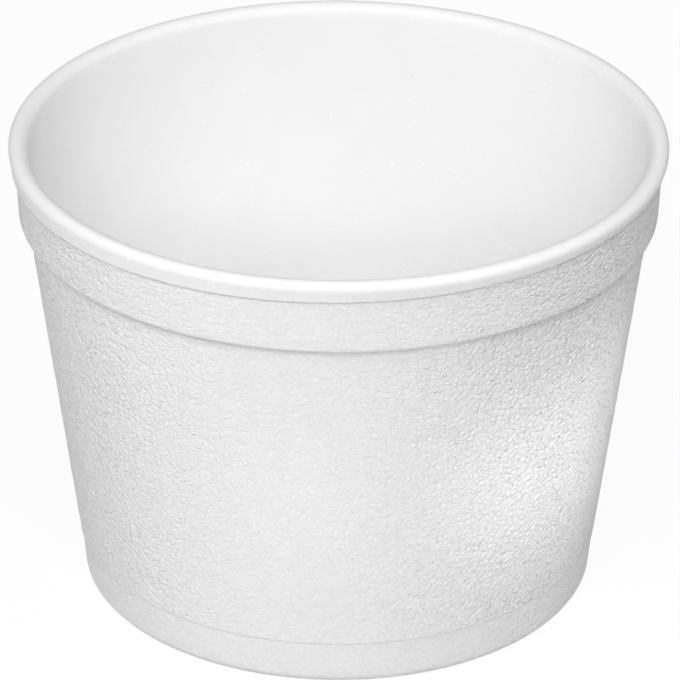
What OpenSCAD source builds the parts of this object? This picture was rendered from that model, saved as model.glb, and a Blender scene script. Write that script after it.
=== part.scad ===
// Moulded foam food container: a tapered round tub in one piece of expanded foam.
// Millimetres, +Z up. The origin is the middle of the foot ring, on the surface it stands on.

/* [Overall] */
// Outer diameter across the lip
rim_d = 112; // [98:1:140]
// Outer diameter of the base at the table, before its corner is rounded
base_d = 88; // [76:0.4:98]
// Height from the table to the top of the lip
height = 82; // [55:0.5:120]

/* [Lip] */
// Height of the lip, from its parting line to its top
lip_h = 3.35; // [2.4:0.05:5]
// Radius over the outer edge of the lip
lip_outer_round = 1.3; // [0.6:0.05:1.8]
// Radius from the top of the lip down into the mouth
lip_inner_round = 2; // [0.5:0.05:2.5]
// Slope of the side of the lip, in degrees
lip_draft = 12; // [0:1:15]
// How far the lip stands out past the collar under it
lip_overhang = 0.7; // [0.2:0.05:1]
// Height of the slope under that overhang
lip_under_h = 0.3; // [0.1:0.05:0.8]

/* [Collar] */
// Height of the collar, from its underside to the parting line of the lip
collar_h = 10.15; // [5:0.05:18]
// Slope of the side of the collar, in degrees
collar_draft = 2.5; // [0:0.5:5]
// How far the collar stands out past the wall under it
collar_step = 1.4; // [0.8:0.1:2.4]
// Radius round the lower edge of the collar
collar_round = 1; // [0.3:0.1:1.4]
// Radius in the corner where the collar meets the wall
collar_fillet = 0.4; // [0.2:0.1:0.8]

/* [Wall] */
// Thickness of the wall, measured square to it
wall_t = 2; // [1.5:0.1:3]
// Radius inside, where the wall meets the floor
inner_round = 5; // [2:0.5:10]
// Thickness of the floor
floor_t = 3; // [2:0.1:6]

/* [Base] */
// Height of the base band, from the table to the parting line round the wall
base_band_h = 8.4; // [5:0.2:14]
// Slope of the side of the base band, in degrees
base_draft = 5.5; // [2:0.5:9]
// Radius of the outer corner at the table
base_round = 2; // [0.5:0.25:3]
// How far the wall stands out past the base band at the parting line
base_step = 0.2; // [0.1:0.05:0.5]
// Width of the flat ring that the container stands on
foot_w = 4; // [2:0.5:8]
// Depth of the recess inside that ring
foot_recess = 1.6; // [0.8:0.1:2.5]
// Slope of the side of the recess, in degrees from upright
recess_draft = 30; // [10:5:45]
// Radius of both edges of the recess
recess_round = 0.5; // [0.1:0.1:0.6]

/* [Hidden] */
$fn = 180;
// Straight steps that stand for each rounded corner of the section
arc_steps = 10;

// Levels, from the table up
floor_z = foot_recess + floor_t;
collar_top_z = height - lip_h;
collar_bottom_z = collar_top_z - collar_h;

// Radii of the outside, from the lip down. The rounding of the lip is what reaches rim_d,
// so the corner that it replaces lies a little farther out
lip_corner_out = lip_outer_round * ((1 + sin(lip_draft)) / cos(lip_draft) - 1);
lip_corner_r = rim_d / 2 + lip_corner_out;
lip_bottom_r = lip_corner_r - lip_h * tan(lip_draft);
collar_top_r = lip_bottom_r - lip_overhang;
collar_bottom_r = collar_top_r - collar_h * tan(collar_draft);
wall_top_r = collar_bottom_r - collar_step;

// Radii of the base band, at a height
function band_outer_r(z) = base_d / 2 + z * tan(base_draft);

// The wall is one straight taper, and the inside is parallel to it
wall_bottom_r = band_outer_r(base_band_h) + base_step;
wall_slope = (wall_top_r - wall_bottom_r) / (collar_bottom_z - base_band_h);
wall_t_level = wall_t * sqrt(1 + wall_slope * wall_slope);
function wall_outer_r(z) = wall_bottom_r + (z - base_band_h) * wall_slope;
function wall_inner_r(z) = wall_outer_r(z) - wall_t_level;

// Radii of the underside, from the corner inwards
foot_outer_r = base_d / 2 - base_round * tan((90 - base_draft) / 2);
foot_inner_r = foot_outer_r - foot_w;
recess_r = foot_inner_r - foot_recess * tan(recess_draft);

// Section of the outside, from the table up: each point is radius, height and rounding there
outside = [
    [base_d / 2, 0, base_round],
    [band_outer_r(base_band_h - base_step), base_band_h - base_step, 0],
    [wall_bottom_r, base_band_h, 0],
    [wall_top_r, collar_bottom_z, collar_fillet],
    [collar_bottom_r, collar_bottom_z, collar_round],
    [collar_top_r, collar_top_z - lip_under_h, 0],
    [lip_bottom_r, collar_top_z, 0],
    [lip_corner_r, height, lip_outer_round],
];

// Section of the inside, from the mouth down to the middle of the floor
inside = [
    [wall_inner_r(height), height, lip_inner_round],
    [wall_inner_r(floor_z), floor_z, inner_round],
    [0, floor_z, 0],
];

// Section of the underside, from its middle out to the foot ring
underside = [
    [0, foot_recess, 0],
    [recess_r, foot_recess, recess_round],
    [foot_inner_r, 0, recess_round],
];

section = concat(outside, inside, underside);

// The place of a corner, the way and the distance from one corner to another
function spot(i) = let (c = section[(i + len(section)) % len(section)]) [c[0], c[1]];
function way(i, j) = (spot(j) - spot(i)) / norm(spot(j) - spot(i));
function side(i, j) = norm(spot(j) - spot(i));

// Half of the angle in the section at a corner
function half_angle(i) = acos(way(i, i - 1) * way(i, i + 1)) / 2;

// How far each rounding reaches along the sides of its corner, as asked
wanted_reach = [for (i = [0 : len(section) - 1]) section[i][2] / tan(half_angle(i))];
function wanted(i) = wanted_reach[(i + len(section)) % len(section)];

// The same, where two roundings that would meet share the side between them
function reach(i) =
    wanted(i) * min(
        1,
        side(i, i - 1) / (wanted(i) + wanted(i - 1)),
        side(i, i + 1) / (wanted(i) + wanted(i + 1))
    );

// Points round a corner, on an arc tangent to both of its sides
function rounded(i) =
    let (
        radius = reach(i) * tan(half_angle(i)),
        middle = way(i, i - 1) + way(i, i + 1),
        centre = spot(i) + middle / norm(middle) * radius / sin(half_angle(i)),
        first = spot(i) + way(i, i - 1) * reach(i) - centre,
        start = atan2(first[1], first[0]),
        sweep = -sign(cross(way(i, i - 1), way(i, i + 1))) * (180 - 2 * half_angle(i))
    )
    [
        for (step = [0 : arc_steps])
            let (a = start + sweep * step / arc_steps)
            centre + radius * [cos(a), sin(a)]
    ];

outline = [
    for (i = [0 : len(section) - 1])
        each section[i][2] > 0 ? rounded(i) : [spot(i)]
];

module container() {
    color([0.96, 0.96, 0.95])
        rotate_extrude()
            polygon(outline);
}

container();
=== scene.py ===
"""A moulded foam food container on a white table, lit as for a product photograph.

The shell is turned from its section, corner by corner, and takes one finish for each zone of the
mould: beads show on the wall, the collar and the base band, and the lip and inside are smooth.
"""
import logging
import math
from dataclasses import dataclass
from enum import Enum
from typing import Callable

import bmesh
import bpy
from mathutils import Matrix, Vector


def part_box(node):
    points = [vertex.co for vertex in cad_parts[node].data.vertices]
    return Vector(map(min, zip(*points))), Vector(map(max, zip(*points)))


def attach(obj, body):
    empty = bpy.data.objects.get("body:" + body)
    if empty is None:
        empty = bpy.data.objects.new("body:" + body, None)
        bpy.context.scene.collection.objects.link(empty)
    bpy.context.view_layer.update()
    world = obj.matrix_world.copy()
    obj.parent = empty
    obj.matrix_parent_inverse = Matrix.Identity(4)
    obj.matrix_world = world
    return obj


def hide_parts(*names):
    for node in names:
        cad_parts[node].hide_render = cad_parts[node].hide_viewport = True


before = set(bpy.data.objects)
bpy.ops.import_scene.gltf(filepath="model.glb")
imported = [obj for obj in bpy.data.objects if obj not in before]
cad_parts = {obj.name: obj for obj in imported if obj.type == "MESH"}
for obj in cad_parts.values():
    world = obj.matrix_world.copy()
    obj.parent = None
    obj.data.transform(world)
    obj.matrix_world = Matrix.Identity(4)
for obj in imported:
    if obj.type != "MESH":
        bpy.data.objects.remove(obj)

LOG = logging.getLogger("container")
MM = 0.001
NODE = "container"
CLOSE = 0.02 * MM
ORIGIN = (0.0, 0.0, 0.0)
FOAM_IOR = 1.4


class Zone(Enum):
    """A part of the moulding with a finish of its own."""

    LIP = "foam_lip"
    COLLAR = "foam_collar"
    WALL = "foam_wall"
    BASE = "foam_base"
    INSIDE = "foam_inside"


@dataclass(frozen=True)
class Corner:
    """One corner of the section.

    Args:
        radius: distance from the axis, in metres.
        height: height above the table, in metres.
        rounding: radius of the arc that replaces the corner, or 0 for a sharp one.
        steps: straight pieces in that arc.
    """

    radius: float
    height: float
    rounding: float = 0.0
    steps: int = 8

    @property
    def place(self) -> Vector:
        """The corner in the plane of the section, as radius and height."""
        return Vector((self.radius, self.height))


@dataclass
class MouldSection:
    """Sizes of the container's section, in metres, and the corners that follow from them.

    Args:
        rim_radius: reach of the lip, taken from the frame.
        height: height of the container, taken from the frame.
    """

    rim_radius: float
    height: float
    base_radius: float = 44.0 * MM
    lip_height: float = 3.35 * MM
    lip_outer_round: float = 1.3 * MM
    lip_inner_round: float = 2.0 * MM
    lip_draft: float = math.radians(12)
    lip_overhang: float = 0.7 * MM
    lip_under: float = 0.3 * MM
    collar_height: float = 10.15 * MM
    collar_draft: float = math.radians(2.5)
    collar_step: float = 1.4 * MM
    collar_round: float = 1.0 * MM
    collar_fillet: float = 0.4 * MM
    wall: float = 2.0 * MM
    inner_round: float = 5.0 * MM
    floor: float = 3.0 * MM
    band_height: float = 8.4 * MM
    base_draft: float = math.radians(5.5)
    base_round: float = 2.0 * MM
    base_step: float = 0.2 * MM
    foot_width: float = 4.0 * MM
    recess: float = 1.6 * MM
    recess_draft: float = math.radians(30)
    recess_round: float = 0.5 * MM

    @property
    def parting_height(self) -> float:
        """Height of the parting line under the lip."""
        return self.height - self.lip_height

    @property
    def step_height(self) -> float:
        """Height of the underside of the collar."""
        return self.parting_height - self.collar_height

    @property
    def lip_corner(self) -> float:
        """Radius of the corner that the rounding of the lip replaces."""
        slope = self.lip_draft
        return self.rim_radius + self.lip_outer_round * ((1 + math.sin(slope)) / math.cos(slope) - 1)

    @property
    def parting_radius(self) -> float:
        """Radius of the lip at its parting line."""
        return self.lip_corner - self.lip_height * math.tan(self.lip_draft)

    @property
    def collar_top(self) -> float:
        """Radius of the collar under the lip."""
        return self.parting_radius - self.lip_overhang

    @property
    def collar_bottom(self) -> float:
        """Radius of the collar at its underside."""
        return self.collar_top - self.collar_height * math.tan(self.collar_draft)

    @property
    def wall_top(self) -> float:
        """Radius of the wall where the collar stands on it."""
        return self.collar_bottom - self.collar_step

    @property
    def wall_bottom(self) -> float:
        """Radius of the wall at the top of the base band."""
        return self.band(self.band_height) + self.base_step

    @property
    def slope(self) -> float:
        """How far the wall leans out for each metre of height."""
        return (self.wall_top - self.wall_bottom) / (self.step_height - self.band_height)

    def band(self, height: float) -> float:
        """Radius of the base band at a height."""
        return self.base_radius + height * math.tan(self.base_draft)

    def outer(self, height: float) -> float:
        """Radius of the outside of the wall at a height."""
        return self.wall_bottom + (height - self.band_height) * self.slope

    def inner(self, height: float) -> float:
        """Radius of the inside of the wall at a height."""
        return self.outer(height) - self.wall * math.hypot(1, self.slope)

    @property
    def foot_outer(self) -> float:
        """Radius of the outer edge of the foot ring, where the corner at the table ends."""
        return self.base_radius - self.base_round * math.tan((math.pi / 2 - self.base_draft) / 2)

    def corners(self) -> list[Corner]:
        """The section from the middle of the floor, over the lip, to the middle underneath.

        Returns:
            The corners in order, each with its rounding.
        """
        floor_top = self.recess + self.floor
        band_top = self.band_height - self.base_step
        foot_inner = self.foot_outer - self.foot_width
        recess_radius = foot_inner - self.recess * math.tan(self.recess_draft)
        return [
            Corner(0.0, floor_top),
            Corner(self.inner(floor_top), floor_top, self.inner_round, 10),
            Corner(self.inner(self.height), self.height, self.lip_inner_round, 10),
            Corner(self.lip_corner, self.height, self.lip_outer_round, 10),
            Corner(self.parting_radius, self.parting_height),
            Corner(self.collar_top, self.parting_height - self.lip_under),
            Corner(self.collar_bottom, self.step_height, self.collar_round, 8),
            Corner(self.wall_top, self.step_height, self.collar_fillet, 4),
            Corner(self.wall_bottom, self.band_height),
            Corner(self.band(band_top), band_top),
            Corner(self.base_radius, 0.0, self.base_round, 8),
            Corner(foot_inner, 0.0, self.recess_round, 3),
            Corner(recess_radius, self.recess, self.recess_round, 3),
            Corner(0.0, self.recess),
        ]


def corner_reach(before: Corner, corner: Corner, after: Corner) -> float:
    """How far a corner's rounding reaches along its two sides.

    Args:
        before: the corner before it in the section.
        corner: the corner that is rounded.
        after: the corner after it.

    Returns:
        The distance from the corner to where its arc starts, in metres.
    """
    back = before.place - corner.place
    ahead = after.place - corner.place
    return corner.rounding / math.tan(back.angle(ahead) / 2)


def arc_end(before: Corner, corner: Corner, after: Corner) -> Vector:
    """Where a corner's arc meets the side that leads to the next corner.

    Args:
        before: the corner before it in the section.
        corner: the corner that is rounded.
        after: the corner after it.

    Returns:
        The place in the plane of the section, as radius and height.
    """
    ahead = (after.place - corner.place).normalized()
    return corner.place + ahead * corner_reach(before, corner, after)


class Modeller:
    """The few steps of modelling by hand that this scene repeats, on the active mesh in edit mode."""

    def __init__(self, name: str) -> None:
        """Keep the name that the finished piece gets."""
        self.name = name

    @staticmethod
    def start_clean() -> None:
        """Deselect everything, so that an operator acts on the new piece alone."""
        bpy.ops.object.select_all(action="DESELECT")

    @property
    def piece(self) -> bpy.types.Object:
        """The piece that is being modelled."""
        return bpy.context.view_layer.objects.active

    def pick(self, kind: str, test: Callable[[Vector], bool]) -> None:
        """Select the vertices, edges or faces whose middle passes a test, and nothing else.

        Args:
            kind: "VERT", "EDGE" or "FACE".
            test: takes the middle of the element and says whether it is wanted.
        """
        bpy.ops.mesh.select_mode(type=kind)
        bpy.ops.mesh.select_all(action="DESELECT")
        mesh = bmesh.from_edit_mesh(self.piece.data)
        elements = {"VERT": mesh.verts, "EDGE": mesh.edges, "FACE": mesh.faces}[kind]
        for element in elements:
            if test(self.middle(element)):
                element.select_set(True)
        mesh.select_flush_mode()
        bmesh.update_edit_mesh(self.piece.data)

    def pick_rings(self, rings: tuple[Vector, ...], above: float, beside: float) -> None:
        """Select the edges that lie on rings round the axis, and nothing else.

        Args:
            rings: place of each ring in the plane of the section, as radius and height.
            above: how far from a ring an edge may be in height.
            beside: how far from it an edge may be in radius.
        """
        self.pick(
            "EDGE",
            lambda middle: any(
                abs(middle.z - ring.y) < above and abs(radius_of(middle) - ring.x) < beside
                for ring in rings
            ),
        )

    @staticmethod
    def middle(element: bmesh.types.BMVert | bmesh.types.BMEdge | bmesh.types.BMFace) -> Vector:
        """The middle of a vertex, an edge or a face."""
        if isinstance(element, bmesh.types.BMVert):
            return element.co
        if isinstance(element, bmesh.types.BMEdge):
            return (element.verts[0].co + element.verts[1].co) / 2
        return element.calc_center_median()


def radius_of(point: Vector) -> float:
    """Distance of a point from the container's axis."""
    return math.hypot(point.x, point.y)


@dataclass
class ContainerShell:
    """The whole moulding, as one closed piece turned from its section.

    Args:
        section: the sizes and corners of the section.
        segments: steps round the axis.
        flash_cuts: cuts in each of those steps near the parting line.
        wall_rows: rows of faces up the outside of the wall.
        collar_rows: rows of faces up the collar.
        lip_rows: rows of faces up the side of the lip.
        band_rows: rows of faces up the base band.
        inside_rows: rows of faces up the inside of the wall.
        flash_lean: how much the parting line leans against the lip, from the mould's closing.
        unevenness: depth of the slow waves on the outside of the foam.
        wave: size of those waves.
        fade: height over which they fade at the table and under the lip.
        teeth: depth of the small teeth along the parting line.
        tooth: size of one of them.
        teeth_azimuth: where the teeth are strongest, from the front and to the right.
        teeth_reach: turn from there over which they weaken.
        teeth_least: their share all round the rest of the line.
        nick_azimuth: where the small nick under the base line is, from the front and to the right.
        nick_depth: depth of that nick.
        nick_slope: width of the slope round it.
        pit_azimuth: where the small pit near the rim inside is, from the front and to the right.
        pit_height: height of that pit.
    """

    section: MouldSection
    segments: int = 400
    flash_cuts: int = 2
    wall_rows: int = 60
    collar_rows: int = 8
    lip_rows: int = 3
    band_rows: int = 4
    inside_rows: int = 16
    flash_lean: float = math.radians(0.7)
    unevenness: float = 0.09 * MM
    wave: float = 2.6 * MM
    fade: float = 2.0 * MM
    teeth: float = 0.45 * MM
    tooth: float = 0.5 * MM
    teeth_azimuth: float = math.radians(52)
    teeth_reach: float = 0.6
    teeth_least: float = 0.4
    nick_azimuth: float = math.radians(-53)
    nick_depth: float = 0.25 * MM
    nick_slope: float = 0.14 * MM
    pit_azimuth: float = math.radians(-97.5)
    pit_height: float = 76.5 * MM

    def build(self) -> bpy.types.Object:
        """Model the shell.

        Returns:
            The finished piece, in place, with its modifiers applied.
        """
        hand = Modeller("foam_shell")
        piece = self.turn(hand)
        self.round_corners(hand)
        self.refine_flash(hand)
        self.lean_flash(hand)
        self.add_rows(hand)
        self.nick(hand)
        bpy.ops.object.mode_set(mode="OBJECT")
        self.roughen(piece)
        bpy.ops.object.shade_smooth_by_angle(angle=math.radians(32))
        return piece

    def turn(self, hand: Modeller) -> bpy.types.Object:
        """Draw the section by extruding one vertex from corner to corner, and spin it.

        Args:
            hand: the modelling steps.

        Returns:
            The piece, still in edit mode.
        """
        corners = self.section.corners()
        hand.start_clean()
        first = corners[0]
        bpy.ops.mesh.primitive_plane_add(size=MM, location=(first.radius, 0, first.height))
        hand.piece.name = hand.name
        hand.piece.data.name = hand.name
        bpy.ops.object.transform_apply(location=True)
        bpy.ops.object.mode_set(mode="EDIT")
        bpy.ops.mesh.select_all(action="SELECT")
        bpy.ops.mesh.merge(type="CENTER")
        for last, corner in zip(corners, corners[1:]):
            step = corner.place - last.place
            bpy.ops.mesh.extrude_vertices_move(TRANSFORM_OT_translate={"value": (step.x, 0, step.y)})
        bpy.ops.mesh.select_all(action="SELECT")
        bpy.ops.mesh.spin(
            steps=self.segments, angle=math.tau, center=(0, 0, 0), axis=(0, 0, 1), use_auto_merge=True
        )
        bpy.ops.mesh.select_all(action="SELECT")
        bpy.ops.mesh.remove_doubles(threshold=0.01 * MM)
        bpy.ops.mesh.normals_make_consistent(inside=False)
        return hand.piece

    def round_corners(self, hand: Modeller) -> None:
        """Bevel each corner that has a rounding, one ring at a time.

        Args:
            hand: the modelling steps.
        """
        corners = self.section.corners()
        for before, corner, after in zip(corners, corners[1:], corners[2:]):
            if not corner.rounding:
                continue
            hand.pick_rings((corner.place,), CLOSE, CLOSE)
            bpy.ops.mesh.bevel(
                offset_type="OFFSET",
                offset=corner_reach(before, corner, after),
                segments=corner.steps,
                profile=0.5,
                affect="EDGES",
                clamp_overlap=False,
            )

    def refine_flash(self, hand: Modeller) -> None:
        """Cut the rings of the collar and the side of the lip into shorter steps.

        Args:
            hand: the modelling steps.
        """
        inner, lip, parting, top, bottom, fillet = self.section.corners()[2:8]
        lip_side = arc_end(inner, lip, parting)
        collar_foot = arc_end(fillet, bottom, top)
        hand.pick_rings((lip_side, parting.place, top.place, collar_foot), CLOSE, CLOSE)
        bpy.ops.mesh.subdivide(number_cuts=self.flash_cuts, ngon=True)

    def lean_flash(self, hand: Modeller) -> None:
        """Turn the ring of the parting line a little about its middle, as the mould closed.

        Args:
            hand: the modelling steps.
        """
        section = self.section
        low = section.parting_height - section.lip_under
        hand.pick(
            "VERT",
            lambda spot: low - CLOSE < spot.z < section.parting_height + CLOSE
            and radius_of(spot) > section.wall_top + MM,
        )
        bpy.ops.transform.rotate(
            value=self.flash_lean,
            orient_axis="Y",
            orient_type="GLOBAL",
            center_override=(0, 0, section.parting_height),
        )

    def add_rows(self, hand: Modeller) -> None:
        """Cut the tall faces of the wall, the collar, the lip, the base band and the inside into rows.

        Args:
            hand: the modelling steps.
        """
        section = self.section
        lip, parting = section.corners()[3:5]
        lip_side = (arc_end(section.corners()[2], lip, parting) + parting.place) / 2
        wall_middle = (section.step_height + section.band_height) / 2
        collar_middle = (section.step_height + section.parting_height) / 2
        band_middle = (section.band_height + section.base_round) / 2
        inside_middle = (section.height + section.recess + section.floor) / 2
        for height, radius, near, rows in (
            (wall_middle, section.outer(wall_middle), 3 * MM, self.wall_rows),
            (collar_middle, (section.collar_top + section.collar_bottom) / 2, 3 * MM, self.collar_rows),
            (lip_side.y, lip_side.x, 0.6 * MM, self.lip_rows),
            (band_middle, section.band(band_middle), 1.5 * MM, self.band_rows),
            (inside_middle, section.inner(inside_middle), 3 * MM, self.inside_rows),
        ):
            hand.pick_rings((Vector((radius, height)),), near, 0.25 * MM)
            bpy.ops.mesh.subdivide(number_cuts=rows - 1)

    def nick(self, hand: Modeller) -> None:
        """Press one small face in, just under the line at the top of the base band.

        Args:
            hand: the modelling steps.
        """
        section = self.section
        top = section.band_height - section.base_step
        row = (top - section.base_round) / self.band_rows
        half_step = math.pi / self.segments
        hand.pick(
            "FACE",
            lambda middle: top - row < middle.z < top
            and radius_of(middle) > section.base_radius
            and abs(math.atan2(middle.x, -middle.y) - self.nick_azimuth) < half_step,
        )
        bpy.ops.mesh.inset(thickness=self.nick_slope, depth=-self.nick_depth)

    def on_outside(self, azimuth: float, height: float) -> tuple[float, float, float]:
        """A place on the outside, by its azimuth from the front and its height."""
        radius = self.section.band(height)
        return (radius * math.sin(azimuth), -radius * math.cos(azimuth), height)

    def on_inside(self, azimuth: float, height: float) -> tuple[float, float, float]:
        """A place on the inside, by its azimuth from the front and its height."""
        radius = self.section.inner(height)
        return (radius * math.sin(azimuth), -radius * math.cos(azimuth), height)

    def flash_height(self, spot: Vector) -> float:
        """Height of the leaning parting line beside a place on the shell."""
        return self.section.parting_height + spot.x * math.tan(self.flash_lean)

    def roughen(self, piece: bpy.types.Object) -> None:
        """Give the outside its slow waves and the parting line its small teeth.

        Args:
            piece: the shell, in object mode.
        """
        section = self.section
        outside = piece.vertex_groups.new(name="outside")
        flash = piece.vertex_groups.new(name="flash")
        for vertex in piece.data.vertices:
            spot = vertex.co
            line = self.flash_height(spot)
            out = radius_of(spot) - section.inner(spot.z)
            below = (line - 0.5 * MM - spot.z) / self.fade
            fade = min(1.0, (spot.z - section.base_round) / self.fade, below)
            if out > 0.7 * section.wall and fade > 0:
                outside.add([vertex.index], fade, "REPLACE")
            near = 1 - abs(spot.z - line + section.lip_under / 2) / MM
            if near > 0 and radius_of(spot) > section.collar_bottom + 0.2 * MM:
                turn = math.atan2(spot.x, -spot.y) - self.teeth_azimuth
                peak = math.exp(-((turn / self.teeth_reach) ** 2))
                share = self.teeth_least + (1 - self.teeth_least) * peak
                flash.add([vertex.index], near * share, "REPLACE")
        self.displace(piece, "outside", "NORMAL", self.unevenness, self.wave)
        self.displace(piece, "flash", "Z", self.teeth, self.tooth)
        self.displace(piece, "flash", "NORMAL", 0.6 * self.teeth, 0.7 * self.tooth)

    @staticmethod
    def displace(piece: bpy.types.Object, group: str, way: str, depth: float, grain: float) -> None:
        """Push a group of vertices about with a cloud noise, and apply it.

        Args:
            piece: the piece to change.
            group: its vertex group.
            way: "NORMAL" or an axis.
            depth: how far the highest and lowest places differ, in metres.
            grain: size of the noise, in metres.
        """
        noise = bpy.data.textures.new(f"{group}_{way}_noise", type="CLOUDS")
        noise.noise_scale = grain
        noise.noise_depth = 1
        bpy.ops.object.modifier_add(type="DISPLACE")
        push = piece.modifiers[-1]
        push.texture = noise
        push.texture_coords = "LOCAL"
        push.direction = way
        push.vertex_group = group
        push.mid_level = 0.5
        push.strength = depth
        bpy.ops.object.modifier_apply(modifier=push.name)

    def zone_of(self, face: bpy.types.MeshPolygon) -> Zone:
        """The zone of the moulding that a face belongs to.

        Args:
            face: a face of the finished shell.

        Returns:
            The zone, from the face's place and the way that it looks.
        """
        section = self.section
        middle = face.center
        line = self.flash_height(middle)
        out = radius_of(middle) - section.inner(middle.z)
        looks_in = face.normal.x * middle.x + face.normal.y * middle.y < -0.3 * radius_of(middle)
        if middle.z > line - section.lip_under and out > CLOSE:
            return Zone.LIP
        if out < 0.5 * section.wall and (looks_in or middle.z > section.recess + 0.5 * section.floor):
            return Zone.INSIDE
        if middle.z > section.step_height - 0.1 * MM:
            return Zone.COLLAR
        if middle.z > section.band_height:
            return Zone.WALL
        return Zone.BASE


class NodeDesk:
    """Short calls for placing and joining nodes in one tree."""

    def __init__(self, tree: bpy.types.NodeTree) -> None:
        """Keep the tree that the nodes go into."""
        self.tree = tree

    def add(self, kind: str, **settings: object) -> bpy.types.Node:
        """Place a node.

        Args:
            kind: the node's type, such as "ShaderNodeMath".
            settings: properties to set on the node.

        Returns:
            The node.
        """
        node = self.tree.nodes.new(kind)
        for name, value in settings.items():
            setattr(node, name, value)
        return node

    def join(self, start: bpy.types.NodeSocket, end: bpy.types.NodeSocket) -> None:
        """Link an output to an input."""
        self.tree.links.new(start, end)

    def feed(self, socket: bpy.types.NodeSocket, value: bpy.types.NodeSocket | float | tuple) -> None:
        """Give an input a value, or link an output to it.

        Args:
            socket: the input.
            value: a number, three numbers or an output.
        """
        if isinstance(value, bpy.types.NodeSocket):
            self.join(value, socket)
        else:
            socket.default_value = value

    def math(self, operation: str, *values: bpy.types.NodeSocket | float) -> bpy.types.NodeSocket:
        """Place a math node and feed it.

        Args:
            operation: such as "ADD".
            values: for each input, a number or an output to link.

        Returns:
            The node's output.
        """
        node = self.add("ShaderNodeMath", operation=operation)
        for socket, value in zip(node.inputs, values):
            self.feed(socket, value)
        return node.outputs[0]

    def vector(self, operation: str, *values: bpy.types.NodeSocket | tuple) -> bpy.types.Node:
        """Place a vector math node and feed it.

        Args:
            operation: such as "SUBTRACT".
            values: for each input, three numbers or an output to link.

        Returns:
            The node.
        """
        node = self.add("ShaderNodeVectorMath", operation=operation)
        for socket, value in zip(node.inputs, values):
            self.feed(socket, value)
        return node


def grey_of(level: float) -> tuple[float, float, float]:
    """A neutral grey, linear."""
    return (level, level, level)


class NodeGroup:
    """A shader node group, built once and placed in each material with its own values."""

    NAME = ""
    INPUTS: tuple[tuple[str, float | tuple[float, float, float]], ...] = ()
    OUTPUTS: tuple[str, ...] = ()

    @classmethod
    def placed(cls, desk: NodeDesk, values: dict[str, object]) -> bpy.types.NodeOutputs:
        """Place the group in a material, and build it first where it isn't there yet.

        Args:
            desk: the material's nodes.
            values: for each input, a number, three numbers or an output to link.

        Returns:
            The outputs of the placed group.
        """
        tree = bpy.data.node_groups.get(cls.NAME) or cls().make()
        node = desk.add("ShaderNodeGroup", node_tree=tree)
        for name, value in values.items():
            desk.feed(node.inputs[name], value)
        return node.outputs

    def make(self) -> bpy.types.NodeTree:
        """Make the group's sockets and fill it.

        Returns:
            The finished group.
        """
        tree = bpy.data.node_groups.new(self.NAME, "ShaderNodeTree")
        for name, value in self.INPUTS:
            kind = "NodeSocketVector" if isinstance(value, tuple) else "NodeSocketFloat"
            tree.interface.new_socket(name, in_out="INPUT", socket_type=kind).default_value = value
        for name in self.OUTPUTS:
            tree.interface.new_socket(name, in_out="OUTPUT", socket_type="NodeSocketFloat")
        desk = NodeDesk(tree)
        given = desk.add("NodeGroupInput").outputs
        taken = desk.add("NodeGroupOutput").inputs
        for name, output in zip(self.OUTPUTS, self.fill(desk, given)):
            desk.join(output, taken[name])
        return tree

    def fill(self, desk: NodeDesk, given: bpy.types.NodeOutputs) -> tuple[bpy.types.NodeSocket, ...]:
        """Place the group's nodes.

        Args:
            desk: the group's nodes.
            given: the group's inputs.

        Returns:
            What the group puts out, in the order of OUTPUTS.
        """
        raise NotImplementedError


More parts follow.
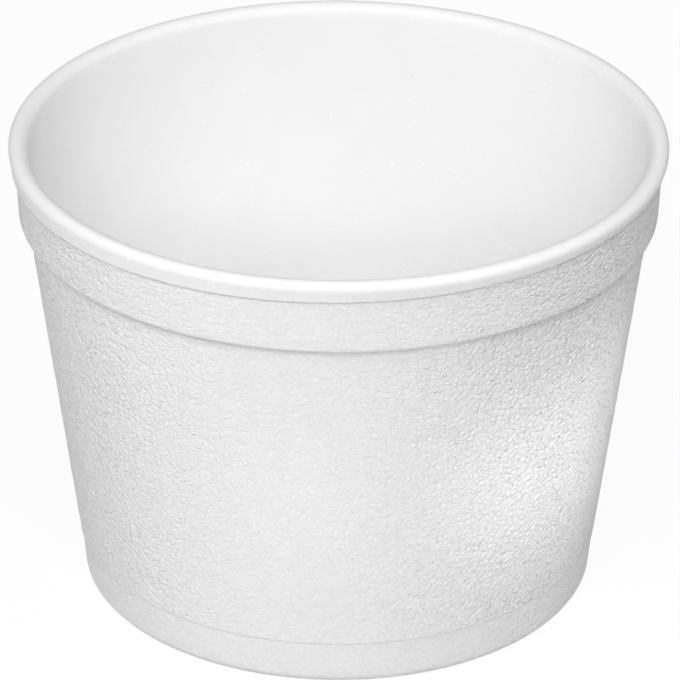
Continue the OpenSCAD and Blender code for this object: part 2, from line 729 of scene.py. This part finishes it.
class BeadSkin(NodeGroup):
    """The skin of moulded beads: soft flat cells pressed against the mould, with small nodules.

    It puts out the height of the skin, how much lighter or darker the foam is there, painted shade in the
    grooves and painted highlights on the nodules included, and its roughness.
    """

    NAME = "bead_skin"
    INPUTS = (
        ("Vector", ORIGIN),
        ("Bead Size", 1.0 * MM),
        ("Groove Width", 0.3),
        ("Groove Depth", 0.3),
        # Groove Shade sets the random tone of each bead and the painted shade in the grooves.
        ("Bead Tone And Painted Groove Shade", 0.03),
        ("Dome", 0.3),
        ("Tilt", 0.5),
        ("Grain", 0.25),
        ("Nodule Share", 0.3),
        ("Nodule Height", 0.6),
        # Nodule Light is a painted highlight on the tops of the nodules.
        ("Painted Nodule Highlight", 0.12),
        ("Nodule Gloss", 0.35),
        ("Roughness", 0.62),
        ("Sparkle", 0.12),
    )
    OUTPUTS = ("Height", "Light", "Roughness")
    NODULE_SHIFT = (0.37, 0.11, 0.23)
    NODULE_PACKING = 1.15
    NODULE_LEAST = 0.16
    NODULE_SPREAD = 0.22

    def fill(self, desk: NodeDesk, given: bpy.types.NodeOutputs) -> tuple[bpy.types.NodeSocket, ...]:
        """Place the nodes of the skin.

        Args:
            desk: the group's nodes.
            given: the group's inputs.

        Returns:
            The height, the light and the roughness.
        """
        scale = desk.math("DIVIDE", 1.0, given["Bead Size"])
        place = self.warp(desk, given, scale)
        cells = self.cells(desk, place, scale, "F1")
        edges = self.cells(desk, place, scale, "DISTANCE_TO_EDGE")
        flat = desk.add("ShaderNodeMapRange", interpolation_type="SMOOTHSTEP")
        desk.join(edges.outputs["Distance"], flat.inputs["Value"])
        desk.join(given["Groove Width"], flat.inputs["From Max"])
        groove = desk.math("SUBTRACT", 1.0, flat.outputs["Result"])
        nodule = self.nodules(desk, given, scale)

        sunk = desk.math("MULTIPLY", groove, given["Groove Depth"])
        bulge = desk.math("MULTIPLY", desk.math("POWER", cells.outputs["Distance"], 2.0), given["Dome"])
        lean = self.lean(desk, place, cells, scale, given["Tilt"])
        height = desk.math("SUBTRACT", desk.math("SUBTRACT", lean, sunk), bulge)
        height = desk.math("ADD", height, self.grain(desk, given, scale))
        height = desk.math("ADD", height, desk.math("MULTIPLY", nodule, given["Nodule Height"]))
        split = desk.add("ShaderNodeSeparateColor")
        desk.join(cells.outputs["Color"], split.inputs["Color"])
        bead = split.outputs["Red"]
        return height, self.light(desk, given, bead, groove, nodule), self.gloss(desk, given, bead, nodule)

    @staticmethod
    def light(
        desk: NodeDesk,
        given: bpy.types.NodeOutputs,
        bead: bpy.types.NodeSocket,
        groove: bpy.types.NodeSocket,
        nodule: bpy.types.NodeSocket,
    ) -> bpy.types.NodeSocket:
        """Give each bead a little tone of its own, paint shade into the grooves and paint a highlight on
        the tops of the nodules.

        Args:
            desk: the group's nodes.
            given: the group's inputs.
            bead: a number from 0 to 1 for each bead.
            groove: 1 in the groove round a bead.
            nodule: 1 on top of a nodule.

        Returns:
            How much lighter the foam is, below 0 where it is darker.
        """
        tone = desk.math("MULTIPLY", desk.math("SUBTRACT", bead, 0.5), given["Bead Tone And Painted Groove Shade"])
        # painted shade: the grooves are darkened in the colour, for the shade that falls in them
        shade = desk.math("MULTIPLY", groove, given["Bead Tone And Painted Groove Shade"])
        # painted highlight: the tops of the nodules are lightened in the colour, for the glints that light
        # gives them
        painted_highlight = desk.math("MULTIPLY", nodule, given["Painted Nodule Highlight"])
        return desk.math("ADD", desk.math("SUBTRACT", tone, shade), painted_highlight)

    @staticmethod
    def gloss(
        desk: NodeDesk,
        given: bpy.types.NodeOutputs,
        bead: bpy.types.NodeSocket,
        nodule: bpy.types.NodeSocket,
    ) -> bpy.types.NodeSocket:
        """Make some beads and all nodules smoother, so that they glint.

        Args:
            desk: the group's nodes.
            given: the group's inputs.
            bead: a number from 0 to 1 for each bead.
            nodule: 1 on top of a nodule.

        Returns:
            The roughness.
        """
        smooth = desk.math("MULTIPLY", desk.math("POWER", bead, 3.0), given["Sparkle"])
        glint = desk.math("MULTIPLY", nodule, given["Nodule Gloss"])
        return desk.math("SUBTRACT", desk.math("SUBTRACT", given["Roughness"], smooth), glint)

    @staticmethod
    def warp(
        desk: NodeDesk, given: bpy.types.NodeOutputs, scale: bpy.types.NodeSocket
    ) -> bpy.types.NodeSocket:
        """Bend the space a little, so that the beads aren't all alike.

        Args:
            desk: the group's nodes.
            given: the group's inputs.
            scale: beads in a metre.

        Returns:
            The bent place.
        """
        noise = desk.add("ShaderNodeTexNoise", noise_dimensions="3D")
        noise.inputs["Detail"].default_value = 1.0
        desk.join(given["Vector"], noise.inputs["Vector"])
        desk.join(desk.math("MULTIPLY", scale, 0.6), noise.inputs["Scale"])
        centred = desk.vector("SUBTRACT", noise.outputs["Color"], (0.5, 0.5, 0.5))
        shift = desk.add("ShaderNodeVectorMath", operation="SCALE")
        desk.join(centred.outputs[0], shift.inputs[0])
        desk.join(desk.math("MULTIPLY", given["Bead Size"], 0.8), shift.inputs["Scale"])
        return desk.vector("ADD", given["Vector"], shift.outputs[0]).outputs[0]

    @staticmethod
    def cells(
        desk: NodeDesk, place: bpy.types.NodeSocket, scale: bpy.types.NodeSocket, feature: str
    ) -> bpy.types.Node:
        """One bead in each cell of a Voronoi pattern.

        Args:
            desk: the group's nodes.
            place: where the surface is.
            scale: beads in a metre.
            feature: what the pattern measures.

        Returns:
            The pattern's node.
        """
        node = desk.add("ShaderNodeTexVoronoi", voronoi_dimensions="3D", feature=feature)
        desk.join(place, node.inputs["Vector"])
        desk.join(scale, node.inputs["Scale"])
        return node

    @staticmethod
    def lean(
        desk: NodeDesk,
        place: bpy.types.NodeSocket,
        cells: bpy.types.Node,
        scale: bpy.types.NodeSocket,
        amount: bpy.types.NodeSocket,
    ) -> bpy.types.NodeSocket:
        """Lean each bead its own way.

        Args:
            desk: the group's nodes.
            place: where the surface is.
            cells: the pattern of beads.
            scale: beads in a metre.
            amount: how far the beads lean.

        Returns:
            The height that the leaning adds.
        """
        out = desk.vector("SUBTRACT", place, cells.outputs["Position"]).outputs[0]
        way = desk.vector("SUBTRACT", cells.outputs["Color"], (0.5, 0.5, 0.5)).outputs[0]
        across = desk.vector("DOT_PRODUCT", out, way).outputs["Value"]
        return desk.math("MULTIPLY", desk.math("MULTIPLY", across, scale), amount)

    @staticmethod
    def grain(
        desk: NodeDesk, given: bpy.types.NodeOutputs, scale: bpy.types.NodeSocket
    ) -> bpy.types.NodeSocket:
        """Fine unevenness, finer than a bead.

        Args:
            desk: the group's nodes.
            given: the group's inputs.
            scale: beads in a metre.

        Returns:
            The height that the grain adds.
        """
        noise = desk.add("ShaderNodeTexNoise", noise_dimensions="3D")
        noise.inputs["Detail"].default_value = 2.0
        desk.join(given["Vector"], noise.inputs["Vector"])
        desk.join(desk.math("MULTIPLY", scale, 1.9), noise.inputs["Scale"])
        return desk.math("MULTIPLY", desk.math("SUBTRACT", noise.outputs["Fac"], 0.5), given["Grain"])

    def nodules(
        self, desk: NodeDesk, given: bpy.types.NodeOutputs, scale: bpy.types.NodeSocket
    ) -> bpy.types.NodeSocket:
        """Small round lumps on some of the beads, each of its own size.

        Args:
            desk: the group's nodes.
            given: the group's inputs.
            scale: beads in a metre.

        Returns:
            1 on top of a lump, falling to 0 at its foot.
        """
        moved = desk.vector("ADD", given["Vector"], self.NODULE_SHIFT).outputs[0]
        spots = self.cells(desk, moved, desk.math("MULTIPLY", scale, self.NODULE_PACKING), "F1")
        split = desk.add("ShaderNodeSeparateColor")
        desk.join(spots.outputs["Color"], split.inputs["Color"])
        spread = desk.math("MULTIPLY", split.outputs["Green"], self.NODULE_SPREAD)
        reach = desk.math("ADD", spread, self.NODULE_LEAST)
        there = desk.math("LESS_THAN", split.outputs["Red"], given["Nodule Share"])
        off = desk.math("DIVIDE", spots.outputs["Distance"], reach)
        top = desk.math("MAXIMUM", desk.math("SUBTRACT", 1.0, off), 0.0)
        dome = desk.math("SINE", desk.math("MULTIPLY", top, math.pi / 2))
        return desk.math("MULTIPLY", dome, there)


class FoamDrift(NodeGroup):
    """Slow changes over the foam: an uneven tone, and beads that stand out more to the sides."""

    NAME = "foam_drift"
    INPUTS = (("Vector", ORIGIN), ("Even At", 0.0), ("Rough From", 30.0 * MM))
    OUTPUTS = ("Tone", "Strength")
    PATCHES_PER_METRE = 110.0
    TONE_RANGE = 0.04
    PATCH_RANGE = 0.6
    PATCH_LEAST = 0.7
    EVEN_STRENGTH = 0.55

    def fill(self, desk: NodeDesk, given: bpy.types.NodeOutputs) -> tuple[bpy.types.NodeSocket, ...]:
        """Place the nodes of the drift.

        Args:
            desk: the group's nodes.
            given: the group's inputs.

        Returns:
            The tone that is added and the strength of the relief.
        """
        patches = desk.add("ShaderNodeTexNoise", noise_dimensions="3D")
        patches.inputs["Scale"].default_value = self.PATCHES_PER_METRE
        patches.inputs["Detail"].default_value = 2.0
        desk.join(given["Vector"], patches.inputs["Vector"])
        level = patches.outputs["Fac"]
        tone = desk.math("MULTIPLY", desk.math("SUBTRACT", level, 0.5), self.TONE_RANGE)
        patch = desk.math("ADD", desk.math("MULTIPLY", level, self.PATCH_RANGE), self.PATCH_LEAST)
        split = desk.add("ShaderNodeSeparateXYZ")
        desk.join(given["Vector"], split.inputs["Vector"])
        off = desk.math("ABSOLUTE", desk.math("SUBTRACT", split.outputs["X"], given["Even At"]))
        aside = desk.math("POWER", desk.math("DIVIDE", off, given["Rough From"]), 2.0)
        return tone, desk.math("MULTIPLY", patch, desk.math("ADD", aside, self.EVEN_STRENGTH))


class PaintedShadeLineGroup(NodeGroup):
    """Painted shade along a thin line round the container, which may lean."""

    NAME = "painted_shade_line"
    INPUTS = (("Vector", ORIGIN), ("Height", 0.0), ("Lean", 0.0), ("Width", 0.3 * MM), ("Shade", 0.1))
    OUTPUTS = ("Shade",)

    def fill(self, desk: NodeDesk, given: bpy.types.NodeOutputs) -> tuple[bpy.types.NodeSocket, ...]:
        """Place the nodes of the line.

        Args:
            desk: the group's nodes.
            given: the group's inputs.

        Returns:
            The shade.
        """
        split = desk.add("ShaderNodeSeparateXYZ")
        desk.join(given["Vector"], split.inputs["Vector"])
        line = desk.math("ADD", desk.math("MULTIPLY", split.outputs["X"], given["Lean"]), given["Height"])
        off = desk.math("ABSOLUTE", desk.math("SUBTRACT", split.outputs["Z"], line))
        return (shade_within(desk, off, given["Width"], given["Shade"]),)


class SpeckAndPaintedDentShadeGroup(NodeGroup):
    """A darker round spot, for a dark speck and for painted shade in a small dent."""

    NAME = "speck_and_painted_dent_shade"
    INPUTS = (("Vector", ORIGIN), ("Spot", ORIGIN), ("Width", 0.3 * MM), ("Shade", 0.1))
    OUTPUTS = ("Shade",)

    def fill(self, desk: NodeDesk, given: bpy.types.NodeOutputs) -> tuple[bpy.types.NodeSocket, ...]:
        """Place the nodes of the pit.

        Args:
            desk: the group's nodes.
            given: the group's inputs.

        Returns:
            The shade.
        """
        off = desk.vector("DISTANCE", given["Vector"], given["Spot"]).outputs["Value"]
        return (shade_within(desk, off, given["Width"], given["Shade"]),)


def shade_within(
    desk: NodeDesk, off: bpy.types.NodeSocket, width: bpy.types.NodeSocket, shade: bpy.types.NodeSocket
) -> bpy.types.NodeSocket:
    """Let a shade fall off with distance.

    Args:
        desk: the group's nodes.
        off: distance from the middle of the mark.
        width: distance at which the shade ends.
        shade: shade in the middle.

    Returns:
        The shade at that distance.
    """
    fall = desk.add("ShaderNodeMapRange", interpolation_type="SMOOTHSTEP")
    desk.join(off, fall.inputs["Value"])
    desk.join(width, fall.inputs["From Max"])
    desk.join(shade, fall.inputs["To Min"])
    fall.inputs["To Max"].default_value = 0.0
    return fall.outputs["Result"]


@dataclass(frozen=True)
class FlashStreaks:
    """Short upright streaks where the foam squeezed out beside the parting line.

    Args:
        line: height of the parting line in the middle.
        lean: how far the line rises for each metre to the right.
        azimuth: where they are strongest, from the front and to the right.
        reach: how far up the streaks go.
        pitch: width of a streak.
        stretch: width of a streak against its length.
        height: height of the streaks.
        grows_from: distance from the axis, that way, at which they begin to grow.
        full_from: distance at which they have their full height.
        least: share of the height that they have elsewhere.
    """

    line: float
    lean: float
    azimuth: float
    reach: float = 1.5 * MM
    pitch: float = 0.55 * MM
    stretch: float = 0.25
    height: float = 0.10 * MM
    grows_from: float = 20.0 * MM
    full_from: float = 55.0 * MM
    least: float = 0.2

    def add(self, desk: NodeDesk, place: bpy.types.NodeSocket) -> bpy.types.NodeSocket:
        """Place the nodes of the streaks.

        Args:
            desk: the material's nodes.
            place: Object coordinates.

        Returns:
            The height of the streaks, in metres.
        """
        split = desk.add("ShaderNodeSeparateXYZ")
        desk.join(place, split.inputs["Vector"])
        across, deep, up = split.outputs
        line = desk.math("ADD", desk.math("MULTIPLY", across, self.lean), self.line)
        above = desk.math("SUBTRACT", up, line)
        near = desk.add("ShaderNodeMapRange", interpolation_type="SMOOTHSTEP")
        desk.join(above, near.inputs["Value"])
        near.inputs["From Min"].default_value = self.reach
        near.inputs["From Max"].default_value = 0.0
        right = desk.math("MULTIPLY", across, math.sin(self.azimuth))
        front = desk.math("SUBTRACT", right, desk.math("MULTIPLY", deep, math.cos(self.azimuth)))
        side = desk.add("ShaderNodeMapRange", interpolation_type="SMOOTHSTEP")
        desk.join(front, side.inputs["Value"])
        side.inputs["From Min"].default_value = self.grows_from
        side.inputs["From Max"].default_value = self.full_from
        side.inputs["To Min"].default_value = self.least
        noise = desk.add("ShaderNodeTexNoise", noise_dimensions="3D")
        noise.inputs["Detail"].default_value = 1.0
        noise.inputs["Scale"].default_value = 1 / self.pitch
        drawn = desk.vector("MULTIPLY", place, (1.0, 1.0, self.stretch)).outputs[0]
        desk.join(drawn, noise.inputs["Vector"])
        streak = desk.math("MULTIPLY", desk.math("SUBTRACT", noise.outputs["Fac"], 0.5), self.height)
        mask = desk.math("MULTIPLY", near.outputs["Result"], side.outputs["Result"])
        return desk.math("MULTIPLY", streak, mask)


@dataclass(frozen=True)
class PaintedShadeLine:
    """A line of painted shade round the container: under the lip and at the step above the base band,
    where parts of the mould met, and under the collar.

    Args:
        height: height of the line in the middle.
        width: distance from the line at which the shade ends.
        shade: how much darker the painted shade makes the line.
        lean: how far the line rises for each metre to the right.
    """

    height: float
    width: float
    shade: float
    lean: float = 0.0

    def add(self, desk: NodeDesk, place: bpy.types.NodeSocket) -> bpy.types.NodeSocket:
        """Place the shade of the line.

        Args:
            desk: the material's nodes.
            place: Object coordinates.

        Returns:
            How much darker the surface is there.
        """
        values = {"Vector": place, "Height": self.height, "Lean": self.lean}
        return PaintedShadeLineGroup.placed(desk, values | {"Width": self.width, "Shade": self.shade})["Shade"]


@dataclass(frozen=True)
class SpeckAndPaintedDentShade:
    """A small darker spot: a dark speck in the foam, and painted shade in the dent of the nick.

    Args:
        spot: where it is, in metres.
        width: distance from its middle at which the shade ends.
        shade: how much darker its middle is.
    """

    spot: tuple[float, float, float]
    width: float
    shade: float

    def add(self, desk: NodeDesk, place: bpy.types.NodeSocket) -> bpy.types.NodeSocket:
        """Place the shade of the pit.

        Args:
            desk: the material's nodes.
            place: Object coordinates.

        Returns:
            How much darker the surface is there.
        """
        values = {"Vector": place, "Spot": self.spot, "Width": self.width, "Shade": self.shade}
        return SpeckAndPaintedDentShadeGroup.placed(desk, values)["Shade"]


@dataclass(frozen=True)
class FoamFinish:
    """How the foam looks in one zone.

    Args:
        zone: the zone that it is for.
        colour: colour of the foam, linear.
        roughness: roughness of the skin.
        sparkle: how much smoother the smoothest beads are.
        nodule_gloss: how much smoother the tops of the nodules are.
        bead_size: width of a bead.
        squash: height of a bead against its width.
        relief: height of the skin's pattern, 0 for a smooth skin.
        groove_depth: share of the height that the grooves between beads take.
        dome: how much a bead is rounded.
        tilt: how much one bead leans against the next.
        grain: how strong the grain on a bead is.
        nodule_share: share of the beads with a nodule.
        nodule_height: height of a nodule against the rest of the pattern.
        even_at: where from left to right the beads stand out least, as the photo shows.
        rough_from: distance from there past which they stand out more.
        bead_tone_and_painted_groove_shade: how much the beads differ in tone at random, and how much
            painted shade darkens the grooves.
        painted_nodule_highlight: how much a painted highlight lightens the tops of the nodules.
        streaks: streaks beside the parting line, where the zone has them.
        painted_shades_and_specks: lines of painted shade and small darker spots in the zone.
    """

    zone: Zone
    colour: tuple[float, float, float] = grey_of(0.86)
    roughness: float = 0.62
    sparkle: float = 0.12
    nodule_gloss: float = 0.35
    bead_size: float = 0.9 * MM
    squash: float = 1.0
    relief: float = 0.06 * MM
    groove_depth: float = 0.25
    dome: float = 0.5
    tilt: float = 0.5
    grain: float = 0.5
    nodule_share: float = 0.4
    nodule_height: float = 0.9
    even_at: float = -6 * MM
    rough_from: float = 32 * MM
    bead_tone_and_painted_groove_shade: float = 0.03
    painted_nodule_highlight: float = 0.12
    streaks: FlashStreaks | None = None
    painted_shades_and_specks: tuple[PaintedShadeLine | SpeckAndPaintedDentShade, ...] = ()

    def material(self) -> bpy.types.Material:
        """Make the finish's material.

        Returns:
            A material with beads, tone and roughness from its nodes.
        """
        material = bpy.data.materials.new(self.zone.value)
        material.use_nodes = True
        desk = NodeDesk(material.node_tree)
        shader = material.node_tree.nodes["Principled BSDF"]
        shader.inputs["IOR"].default_value = FOAM_IOR
        place = desk.add("ShaderNodeTexCoord").outputs["Object"]
        skin = self.skin(desk, place)
        desk.join(skin["Roughness"], shader.inputs["Roughness"])
        drift = FoamDrift.placed(
            desk, {"Vector": place, "Even At": self.even_at, "Rough From": self.rough_from}
        )

        level = desk.math("ADD", desk.math("ADD", 1.0, skin["Light"]), drift["Tone"])
        # The marks darken the colour: painted shade along lines, and small darker spots.
        for mark in self.painted_shades_and_specks:
            level = desk.math("SUBTRACT", level, mark.add(desk, place))
        dye = desk.add("ShaderNodeVectorMath", operation="SCALE")
        dye.inputs[0].default_value = self.colour
        desk.join(level, dye.inputs["Scale"])
        desk.join(dye.outputs[0], shader.inputs["Base Color"])

        rise = desk.math("MULTIPLY", skin["Height"], drift["Strength"])
        height = desk.math("MULTIPLY", rise, self.relief)
        if self.streaks:
            height = desk.math("ADD", height, self.streaks.add(desk, place))
        bump = desk.add("ShaderNodeBump")
        bump.inputs["Strength"].default_value = 1.0
        bump.inputs["Distance"].default_value = 1.0
        desk.join(height, bump.inputs["Height"])
        desk.join(bump.outputs["Normal"], shader.inputs["Normal"])
        return material

    def skin(self, desk: NodeDesk, place: bpy.types.NodeSocket) -> bpy.types.NodeOutputs:
        """Place the bead group with this finish's values.

        Args:
            desk: the material's nodes.
            place: Object coordinates.

        Returns:
            The outputs of the group.
        """
        values = {
            "Vector": desk.vector("MULTIPLY", place, (1.0, 1.0, 1.0 / self.squash)).outputs[0],
            "Bead Size": self.bead_size,
            "Groove Depth": self.groove_depth,
            "Bead Tone And Painted Groove Shade": self.bead_tone_and_painted_groove_shade,
            "Dome": self.dome,
            "Tilt": self.tilt,
            "Grain": self.grain,
            "Nodule Share": self.nodule_share,
            "Nodule Height": self.nodule_height,
            "Painted Nodule Highlight": self.painted_nodule_highlight,
            "Nodule Gloss": self.nodule_gloss,
            "Roughness": self.roughness,
            "Sparkle": self.sparkle,
        }
        return BeadSkin.placed(desk, values)


def finishes(shell: ContainerShell) -> tuple[FoamFinish, ...]:
    """One finish for each zone of the shell.

    Args:
        shell: the shell's sizes, which place the streaks.

    Returns:
        The finishes.
    """
    section = shell.section
    lean = math.tan(shell.flash_lean)
    streaks = FlashStreaks(section.parting_height, lean, shell.teeth_azimuth)
    # Painted shade: the line under the lip, the crease under the collar, a soft shadow down the wall below
    # it and the step above the base band are darkened in the colour.
    parting = PaintedShadeLine(section.parting_height - section.lip_under, 0.35 * MM, 0.2, lean)
    underside = PaintedShadeLine(section.step_height, 0.45 * MM, 0.12)
    painted_collar_shadow = PaintedShadeLine(section.step_height, 3.0 * MM, 0.03)
    painted_base_step_shade = PaintedShadeLine(section.band_height - 0.5 * section.base_step, 0.35 * MM, 0.1)
    # Painted shade: this spot darkens the pressed nick's dent in the colour.
    nick = SpeckAndPaintedDentShade(shell.on_outside(shell.nick_azimuth, section.band_height - 1.2 * MM), 0.5 * MM, 0.12)
    pit = SpeckAndPaintedDentShade(shell.on_inside(shell.pit_azimuth, shell.pit_height), 0.22 * MM, 0.5)
    return (
        FoamFinish(
            Zone.LIP,
            colour=grey_of(0.85),
            roughness=0.7,
            relief=0.012 * MM,
            nodule_share=0.1,
            bead_tone_and_painted_groove_shade=0.01,
            streaks=streaks,
        ),
        FoamFinish(
            Zone.COLLAR,
            colour=grey_of(0.83),
            bead_size=0.95 * MM,
            squash=0.75,
            relief=0.13 * MM,
            bead_tone_and_painted_groove_shade=0.04,
            painted_shades_and_specks=(parting, underside),
        ),
        FoamFinish(Zone.WALL, relief=0.17 * MM, painted_shades_and_specks=(underside, painted_collar_shadow, painted_base_step_shade)),
        FoamFinish(Zone.BASE, colour=grey_of(0.83), relief=0.08 * MM, painted_shades_and_specks=(painted_base_step_shade, nick)),
        FoamFinish(
            Zone.INSIDE,
            colour=grey_of(0.865),
            relief=0.004 * MM,
            nodule_share=0.05,
            bead_tone_and_painted_groove_shade=0.006,
            painted_shades_and_specks=(pit,),
        ),
    )


def dress(shell: ContainerShell, piece: bpy.types.Object) -> None:
    """Give each zone of the shell its finish.

    Args:
        shell: the shell's sizes, which tell the zones apart.
        piece: the shell's mesh.
    """
    slots: dict[Zone, int] = {}
    for number, finish in enumerate(finishes(shell)):
        piece.data.materials.append(finish.material())
        slots[finish.zone] = number
    for face in piece.data.polygons:
        face.material_index = slots[shell.zone_of(face)]


@dataclass(frozen=True)
class SoftBox:
    """A large soft lamp somewhere round the container.

    Args:
        name: name of the lamp.
        azimuth: degrees round the container from the camera's side, to the right.
        elevation: degrees above the table.
        power: watts.
        aim: the place it lights, in metres.
        distance: metres from that place.
        size: width and height of the lamp, in metres.
    """

    name: str
    azimuth: float
    elevation: float
    power: float
    aim: tuple[float, float, float] = (0.0, 0.0, 0.04)
    distance: float = 1.0
    size: tuple[float, float] = (0.6, 0.5)

    def place(self) -> bpy.types.Object:
        """Add the lamp, turned to the place it lights.

        Returns:
            The lamp.
        """
        turn = math.radians(self.azimuth)
        rise = math.radians(self.elevation)
        level = math.cos(rise)
        way = Vector((math.sin(turn) * level, -math.cos(turn) * level, math.sin(rise)))
        bpy.ops.object.light_add(type="AREA", location=Vector(self.aim) + way * self.distance)
        lamp = bpy.context.view_layer.objects.active
        lamp.name = self.name
        lamp.rotation_euler = way.to_track_quat("Z", "Y").to_euler()
        lamp.data.energy = self.power
        self.shape(lamp.data)
        return lamp

    def shape(self, light: bpy.types.AreaLight) -> None:
        """Give the lamp its width and height."""
        light.shape = "RECTANGLE"
        light.size, light.size_y = self.size


@dataclass(frozen=True)
class GridStrip(SoftBox):
    """A strip lamp behind a grid, which keeps its light in one soft-edged band.

    Args:
        spread: how far the beam fans out, in degrees.
    """

    distance: float = 0.5
    size: tuple[float, float] = (0.006, 0.02)
    spread: float = 5.0

    def shape(self, light: bpy.types.AreaLight) -> None:
        """Give the lamp its size and its grid."""
        super().shape(light)
        light.spread = math.radians(self.spread)


@dataclass
class Studio:
    """Table, backdrop, lamps and camera.

    Args:
        aim_height: height that the camera's distance and elevation are measured to.
        distance: metres from the camera to that height on the axis.
        elevation: angle from there up to the camera, in radians, as the next three.
        dip: how much further down the camera looks.
        roll: turn of the camera about its own view.
        heading: turn of the camera to the left.
        focal_px: focal length in pixels of the photograph.
        frame_px: width of the photograph in pixels.
        sensor: width of the camera's sensor, in millimetres.
        floor_tone: tone of the table as it lights the container.
        floor_shown: tone of the table where the camera sees its shadow.
        floor_white: share of plain white in what the camera sees of the table.
    """

    aim_height: float
    distance: float = 0.952
    elevation: float = 0.4492
    dip: float = 0.0354
    roll: float = 0.0041
    heading: float = -0.0004
    focal_px: float = 5610.4
    frame_px: float = 680.0
    sensor: float = 36.0
    floor_tone: float = 0.62
    floor_shown: float = 0.97
    floor_white: float = 0.92

    LAMPS = (
        SoftBox("front", azimuth=0, elevation=35, power=6.7),
        SoftBox("right_high", azimuth=90, elevation=50, power=3.6),
        SoftBox("left_high", azimuth=-45, elevation=50, power=2.8),
        SoftBox("left_low", azimuth=-90, elevation=20, power=2.2),
        SoftBox("top", azimuth=0, elevation=89, power=0.7),
        GridStrip("right_band", azimuth=40, elevation=4, power=0.00045, aim=(0.0301, -0.0384, 0.037)),
        GridStrip("left_band", azimuth=-6, elevation=4, power=0.00012, aim=(-0.005, -0.048, 0.037)),
        GridStrip(
            "right_side",
            azimuth=72,
            elevation=3,
            power=0.0013,
            aim=(0.042, -0.024, 0.038),
            size=(0.02, 0.04),
        ),
    )

    def build(self) -> None:
        """Set the whole studio."""
        self.add_camera()
        self.add_floor()
        self.set_world()
        for lamp in self.LAMPS:
            lamp.place()
        bpy.context.scene.view_settings.view_transform = "Standard"

    def add_camera(self) -> None:
        """Add the camera at the photograph's place, with its long lens."""
        aim = Vector((0, 0, self.aim_height))
        way = Vector((0, -math.cos(self.elevation), math.sin(self.elevation)))
        bpy.ops.object.camera_add(location=aim + way * self.distance)
        camera = bpy.context.view_layer.objects.active
        camera.name = "camera"
        turned = (
            Matrix.Rotation(self.heading, 4, "Z")
            @ Matrix.Rotation(math.pi / 2 - self.elevation - self.dip, 4, "X")
            @ Matrix.Rotation(self.roll, 4, "Z")
        )
        camera.rotation_euler = turned.to_euler()
        camera.data.sensor_width = self.sensor
        camera.data.lens = self.focal_px / self.frame_px * self.sensor
        camera.data.clip_end = 20.0
        bpy.context.scene.camera = camera

    def add_floor(self) -> None:
        """Add the pale table that the container stands on."""
        Modeller.start_clean()
        bpy.ops.mesh.primitive_plane_add(size=6.0, location=(0, 0, 0))
        floor = bpy.context.view_layer.objects.active
        floor.name = "table"
        floor.data.materials.append(self.floor_material())

    def floor_material(self) -> bpy.types.Material:
        """Make the table's material: white to the camera with its shadow kept, and pale as it lights.

        Returns:
            The material.
        """
        material = bpy.data.materials.new("table")
        material.use_nodes = True
        desk = NodeDesk(material.node_tree)
        nodes = material.node_tree.nodes
        lit = nodes["Principled BSDF"]
        lit.inputs["Base Color"].default_value = (*grey_of(self.floor_tone), 1)
        lit.inputs["Roughness"].default_value = 0.8
        lit.inputs["Specular IOR Level"].default_value = 0.1
        shaded = desk.add("ShaderNodeBsdfDiffuse")
        shaded.inputs["Color"].default_value = (*grey_of(self.floor_shown), 1)
        white = desk.add("ShaderNodeEmission")
        shown = desk.add("ShaderNodeMixShader")
        shown.inputs["Fac"].default_value = self.floor_white
        desk.join(shaded.outputs["BSDF"], shown.inputs[1])
        desk.join(white.outputs["Emission"], shown.inputs[2])
        path = desk.add("ShaderNodeLightPath")
        seen = desk.math("MAXIMUM", path.outputs["Is Camera Ray"], path.outputs["Is Glossy Ray"])
        both = desk.add("ShaderNodeMixShader")
        desk.join(desk.math("MAXIMUM", seen, path.outputs["Is Transmission Ray"]), both.inputs["Fac"])
        desk.join(lit.outputs["BSDF"], both.inputs[1])
        desk.join(shown.outputs["Shader"], both.inputs[2])
        desk.join(both.outputs["Shader"], nodes["Material Output"].inputs["Surface"])
        return material

    def set_world(self) -> None:
        """Surround the scene with white that the camera sees and that gives no light."""
        world = bpy.data.worlds.new("studio_white")
        world.use_nodes = True
        desk = NodeDesk(world.node_tree)
        back = world.node_tree.nodes["Background"]
        back.inputs["Color"].default_value = (1, 1, 1, 1)
        path = desk.add("ShaderNodeLightPath")
        seen = desk.math("MAXIMUM", path.outputs["Is Camera Ray"], path.outputs["Is Transmission Ray"])
        desk.join(seen, back.inputs["Strength"])
        bpy.context.scene.world = world


def main() -> None:
    """Build the container and its studio, and report each piece."""
    logging.basicConfig(level=logging.INFO, format="%(name)s: %(message)s")
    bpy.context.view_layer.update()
    low, high = (Vector(corner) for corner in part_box(NODE))
    section = MouldSection(rim_radius=(high.x - low.x) / 2, height=high.z)
    shell = ContainerShell(section)
    piece = shell.build()
    dress(shell, piece)
    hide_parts(NODE)
    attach(piece, "root")
    LOG.info("%s: %d faces, box %s", piece.name, len(piece.data.polygons), tuple(piece.dimensions))
    studio = Studio(aim_height=section.height - section.lip_outer_round)
    studio.build()
    LOG.info("studio: %d lamps", len(studio.LAMPS))


if __name__ == "__main__":
    main()
